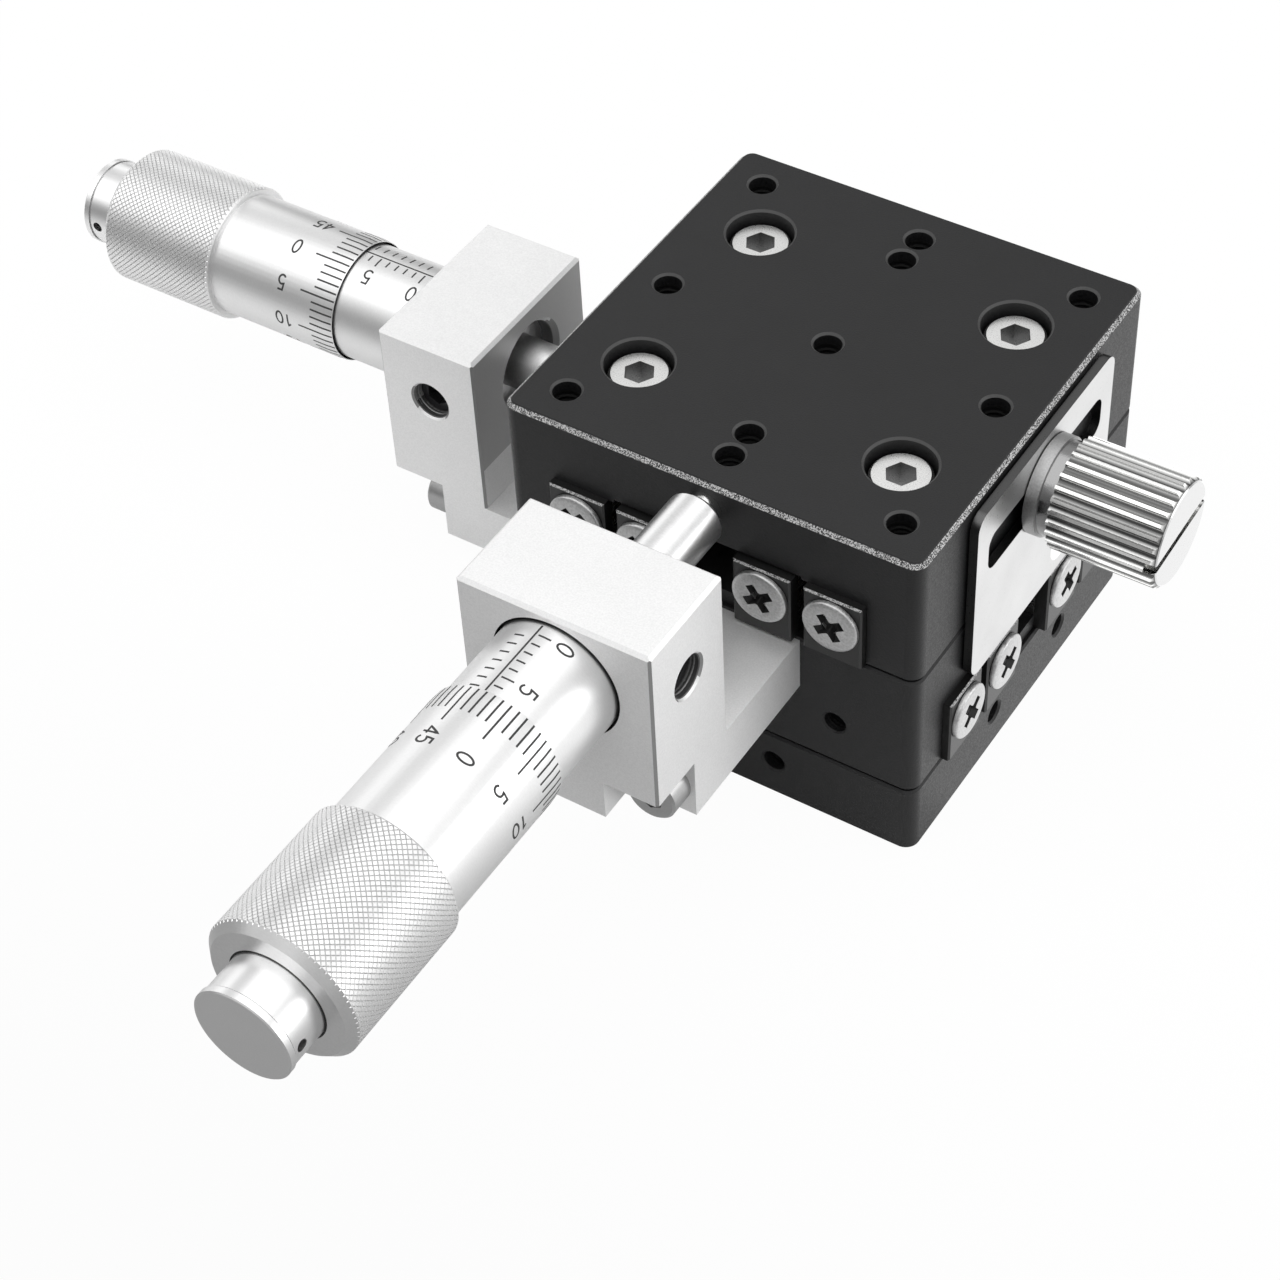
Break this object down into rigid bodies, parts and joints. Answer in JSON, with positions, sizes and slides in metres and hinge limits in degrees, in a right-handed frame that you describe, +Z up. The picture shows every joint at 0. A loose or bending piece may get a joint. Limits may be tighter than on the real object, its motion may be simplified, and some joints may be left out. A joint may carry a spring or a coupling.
{
  "type": "manual xy stage",
  "caption": "Manual XY positioning stage: stacked crossed-roller slides, each with a bracketed micrometer head and a slotted clamp plate with a fluted knob.",
  "frame": {"origin": "centre of the base's underside", "axes": "+Z up through the table, -Y along the front micrometer, -X along the left micrometer"},
  "size_m": [0.1152, 0.1152, 0.0386],
  "materials": {
    "black_anodised": "satin black anodised, fine bead blast",
    "clear_anodised": "satin bead-blasted clear anodised",
    "satin_chrome": "satin chrome plated steel",
    "ground_steel": "ground and polished hardened steel",
    "screw_steel": "nickel plated steel",
    "bright_plate": "bright rolled stainless steel",
    "nickel_plated": "bright nickel plated",
    "black_steel": "black oxide steel",
    "cage_brass": "rolled brass"
  },
  "bodies": {
    "base_unit": {"base_plate": "black_anodised", "lower_inner_rails": "ground_steel", "lower_inner_rail_screws": "screw_steel", "lower_inner_end_plates": "black_steel", "lower_inner_end_screws": "screw_steel", "lower_clamp_plate": "bright_plate", "lower_clamp_plate_screws": "screw_steel", "lower_spring_anchor_pin": "ground_steel", "lower_return_spring": "ground_steel", "left_bracket": "clear_anodised", "left_bracket_screws": "screw_steel", "left_bracket_set_screw": "black_steel", "left_sleeve": "satin_chrome", "left_nut": "cage_brass"},
    "carriage_unit": {"carriage_block": "black_anodised", "lower_outer_rails": "ground_steel", "lower_outer_rail_screws": "screw_steel", "lower_outer_end_plates": "black_steel", "lower_outer_end_screws": "screw_steel", "lower_preload_screws": "black_steel", "lower_spring_pull_pin": "ground_steel", "lower_anvil": "ground_steel", "upper_inner_rails": "ground_steel", "upper_inner_rail_screws": "screw_steel", "upper_inner_end_plates": "black_steel", "upper_inner_end_screws": "screw_steel", "upper_clamp_plate": "bright_plate", "upper_clamp_plate_screws": "screw_steel", "upper_spring_anchor_pin": "ground_steel", "upper_return_spring": "ground_steel", "front_bracket": "clear_anodised", "front_bracket_screws": "screw_steel", "front_bracket_set_screw": "black_steel", "front_sleeve": "satin_chrome", "front_nut": "cage_brass"},
    "table_unit": {"table_plate": "black_anodised", "upper_outer_rails": "ground_steel", "upper_outer_rail_screws": "screw_steel", "upper_outer_end_plates": "black_steel", "upper_outer_end_screws": "screw_steel", "upper_preload_screws": "black_steel", "upper_spring_pull_pin": "ground_steel", "upper_anvil": "ground_steel"},
    "lower_cage_pair": {"lower_roller_cages": "cage_brass", "lower_rollers": "ground_steel"},
    "upper_cage_pair": {"upper_roller_cages": "cage_brass", "upper_rollers": "ground_steel"},
    "left_spindle_rod": {"left_spindle": "ground_steel"},
    "front_spindle_rod": {"front_spindle": "ground_steel"},
    "left_thimble_unit": {"left_thimble": "satin_chrome", "left_lead_screw": "ground_steel", "left_end_cap": "satin_chrome"},
    "front_thimble_unit": {"front_thimble": "satin_chrome", "front_lead_screw": "ground_steel", "front_end_cap": "satin_chrome"},
    "upper_washer_ring": {"upper_clamp_washer": "nickel_plated"},
    "lower_washer_ring": {"lower_clamp_washer": "nickel_plated"},
    "upper_knob_unit": {"upper_clamp_knob": "nickel_plated"},
    "lower_knob_unit": {"lower_clamp_knob": "nickel_plated"}
  },
  "joints": [
    {"name": "left_thimble_turn", "type": "hinge", "parent": "left_spindle_rod", "child": "left_thimble_unit", "pos_m": [-0.07, 0, 0.01837], "axis": [1, 0, 0], "range_deg": [-4680, 4680]},
    {"name": "carriage_slide", "type": "slide", "parent": "base_unit", "child": "carriage_unit", "axis": [1, 0, 0], "range_m": [-0.0065, 0.0065], "deforming": ["lower_return_spring"]},
    {"name": "left_spindle_slide", "type": "slide", "parent": "base_unit", "child": "left_spindle_rod", "axis": [1, 0, 0], "range_m": [-0.0065, 0.0065]},
    {"name": "lower_cage_slide", "type": "slide", "parent": "base_unit", "child": "lower_cage_pair", "axis": [1, 0, 0], "range_m": [-0.00325, 0.00325]},
    {"name": "front_thimble_turn", "type": "hinge", "parent": "front_spindle_rod", "child": "front_thimble_unit", "pos_m": [0, -0.07, 0.03192], "axis": [0, 1, 0], "range_deg": [-4680, 4680]},
    {"name": "table_slide", "type": "slide", "parent": "carriage_unit", "child": "table_unit", "axis": [0, 1, 0], "range_m": [-0.0065, 0.0065], "deforming": ["upper_return_spring"]},
    {"name": "front_spindle_slide", "type": "slide", "parent": "carriage_unit", "child": "front_spindle_rod", "axis": [0, 1, 0], "range_m": [-0.0065, 0.0065]},
    {"name": "upper_cage_slide", "type": "slide", "parent": "carriage_unit", "child": "upper_cage_pair", "axis": [0, 1, 0], "range_m": [-0.00325, 0.00325]},
    {"name": "upper_knob_turn", "type": "hinge", "parent": "upper_washer_ring", "child": "upper_knob_unit", "pos_m": [0.026, 0, 0.02818], "axis": [-1, 0, 0], "range_deg": [-360, 45]},
    {"name": "upper_washer_slide", "type": "slide", "parent": "table_unit", "child": "upper_washer_ring", "axis": [1, 0, 0], "range_m": [-0.0000625, 0.0005]},
    {"name": "lower_knob_turn", "type": "hinge", "parent": "lower_washer_ring", "child": "lower_knob_unit", "pos_m": [0, 0.026, 0.01463], "axis": [0, -1, 0], "range_deg": [-360, 45]},
    {"name": "lower_washer_slide", "type": "slide", "parent": "carriage_unit", "child": "lower_washer_ring", "axis": [0, 1, 0], "range_m": [-0.0000625, 0.0005]}
  ],
  "couplings": [
    {"joint": "left_thimble_turn", "follows": "carriage_slide", "rad_per_m": 12566},
    {"joint": "left_spindle_slide", "follows": "carriage_slide", "ratio": 1},
    {"joint": "lower_cage_slide", "follows": "carriage_slide", "ratio": 0.5},
    {"joint": "front_thimble_turn", "follows": "table_slide", "rad_per_m": 12566},
    {"joint": "front_spindle_slide", "follows": "table_slide", "ratio": 1},
    {"joint": "upper_cage_slide", "follows": "table_slide", "ratio": 0.5},
    {"joint": "upper_knob_turn", "follows": "upper_washer_slide", "rad_per_m": -12566},
    {"joint": "lower_knob_turn", "follows": "lower_washer_slide", "rad_per_m": -12566}
  ]
}
